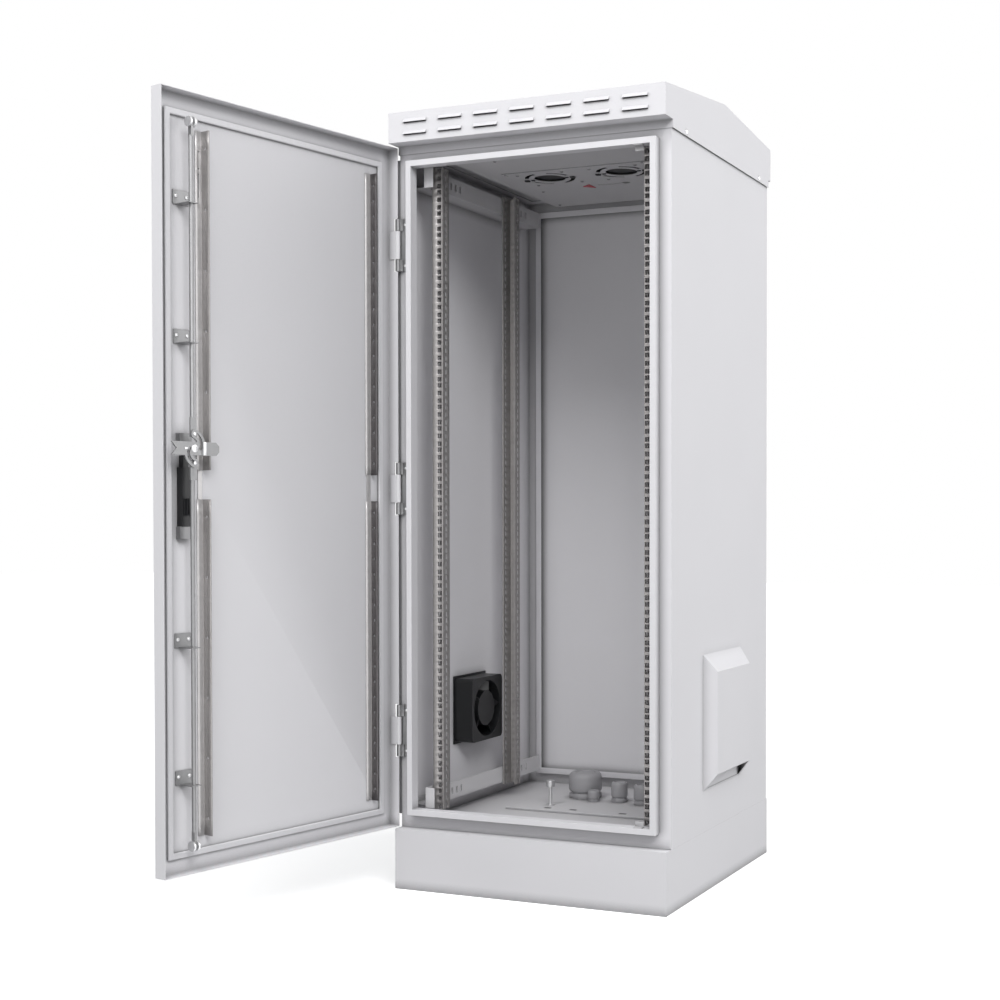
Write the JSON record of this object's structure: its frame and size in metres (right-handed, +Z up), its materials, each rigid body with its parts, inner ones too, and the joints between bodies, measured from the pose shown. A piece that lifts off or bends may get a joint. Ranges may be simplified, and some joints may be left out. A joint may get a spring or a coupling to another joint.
{
  "type": "roadside utility cabinet",
  "caption": "Freestanding outdoor telecom cabinet with plinth, gabled louvred roof, side hoods, rack rails and an open door with a rod lock",
  "frame": {"origin": "middle of the plinth's underside", "axes": "X along the front, Y to the back, Z up"},
  "size_m": [0.7809, 1.209, 1.6275],
  "materials": {
    "body_paint": "satin powder coat",
    "inside_paint": "satin powder coat",
    "fan_plastic": "fine texture",
    "gland_plastic": "fine texture",
    "galvanised": "galvanised sheet, dull",
    "zinc": "zinc plated",
    "bright_steel": "bright steel",
    "black_plastic": "fine texture",
    "roller_plastic": "smooth",
    "foam": "foamed in place",
    "red_marker": "film"
  },
  "bodies": {
    "root": {"plinth": "body_paint", "body_shell": "body_paint", "rear_panel": "body_paint", "roof_canopy": "body_paint", "left_hood": "body_paint", "right_hood": "body_paint", "gutter_frame": "body_paint", "rod_keepers": "body_paint", "top_panel": "inside_paint", "ceiling_tray": "inside_paint", "fan_plate": "inside_paint", "floor_panel": "inside_paint", "gland_plate": "inside_paint", "right_filter_frame": "inside_paint", "depth_rail_lower_left": "inside_paint", "depth_rail_lower_right": "inside_paint", "depth_rail_upper_left": "inside_paint", "depth_rail_upper_right": "inside_paint", "rack_rail_front_left": "galvanised", "rack_rail_front_right": "galvanised", "rack_rail_rear_left": "galvanised", "rack_rail_rear_right": "galvanised", "hinge_bracket_lower": "zinc", "hinge_bracket_middle": "zinc", "hinge_bracket_upper": "zinc", "rail_screws": "bright_steel", "panel_screws": "bright_steel", "earth_stud": "bright_steel", "side_fan_plate": "black_plastic", "side_fan_housing": "black_plastic", "roof_fan_1_housing": "fan_plastic", "roof_fan_2_housing": "fan_plastic", "gland_large": "gland_plastic", "gland_small": "gland_plastic", "glands_medium": "gland_plastic", "marker_arrow": "red_marker"},
    "door": {"door_panel": "body_paint", "door_gasket": "foam", "stiffener_joiners": "galvanised", "rod_guides": "zinc", "guide_screws": "bright_steel", "lock_escutcheon": "body_paint", "lock_body": "black_plastic", "lock_clamps": "zinc", "stiffener_free_lower": "galvanised", "stiffener_free_upper": "galvanised", "stiffener_hinge_lower": "galvanised", "stiffener_hinge_upper": "galvanised"},
    "lock_turn": {"lock_spindle": "bright_steel", "lock_cam": "zinc", "lever_pin": "bright_steel"},
    "lever": {"lock_lever": "black_plastic"},
    "upper_rod": {"rod_upper": "zinc"},
    "lower_rod": {"rod_lower": "zinc"},
    "upper_roller": {"roller_upper": "roller_plastic"},
    "lower_roller": {"roller_lower": "roller_plastic"},
    "side_fan_spinner": {"side_fan_rotor": "black_plastic"},
    "roof_fan_1_spinner": {"roof_fan_1_rotor": "fan_plastic"},
    "roof_fan_2_spinner": {"roof_fan_2_rotor": "fan_plastic"}
  },
  "joints": [
    {"name": "door_swing", "type": "hinge", "parent": "root", "child": "door", "pos_m": [-0.30235, -0.29464, 0.825], "axis": [0, 0, 1], "range_deg": [-17.7, 102.24]},
    {"name": "handle_turn", "type": "hinge", "parent": "door", "child": "lock_turn", "pos_m": [-0.41108, -0.82361, 0.889], "axis": [0.9773, -0.212, 0], "range_deg": [0, 90]},
    {"name": "handle_lift", "type": "hinge", "parent": "lock_turn", "child": "lever", "pos_m": [-0.44685, -0.81585, 0.889], "axis": [0.212, 0.9773, 0], "range_deg": [0, 50]},
    {"name": "rod_upper_slide", "type": "slide", "parent": "door", "child": "upper_rod", "axis": [0, 0, -1], "range_m": [0, 0.014]},
    {"name": "rod_lower_slide", "type": "slide", "parent": "door", "child": "lower_rod", "axis": [0, 0, 1], "range_m": [0, 0.014]},
    {"name": "roller_upper_spin", "type": "hinge", "parent": "upper_rod", "child": "upper_roller", "pos_m": [-0.41, -0.82385, 1.47], "axis": [-0.212, -0.9773, 0], "continuous": true},
    {"name": "roller_lower_spin", "type": "hinge", "parent": "lower_rod", "child": "lower_roller", "pos_m": [-0.41, -0.82385, 0.1773], "axis": [-0.212, -0.9773, 0], "continuous": true},
    {"name": "side_fan_spin", "type": "hinge", "parent": "root", "child": "side_fan_spinner", "pos_m": [-0.27, 0.00225, 0.34], "axis": [1, 0, 0], "continuous": true},
    {"name": "roof_fan_1_spin", "type": "hinge", "parent": "root", "child": "roof_fan_1_spinner", "pos_m": [-0.084, -0.02475, 1.51], "axis": [0, 0, 1], "continuous": true},
    {"name": "roof_fan_2_spin", "type": "hinge", "parent": "root", "child": "roof_fan_2_spinner", "pos_m": [0.084, -0.02475, 1.51], "axis": [0, 0, 1], "continuous": true}
  ],
  "couplings": [
    {"joint": "rod_upper_slide", "follows": "handle_turn", "m_per_rad": 0.0089127},
    {"joint": "rod_lower_slide", "follows": "handle_turn", "m_per_rad": 0.0089127}
  ]
}
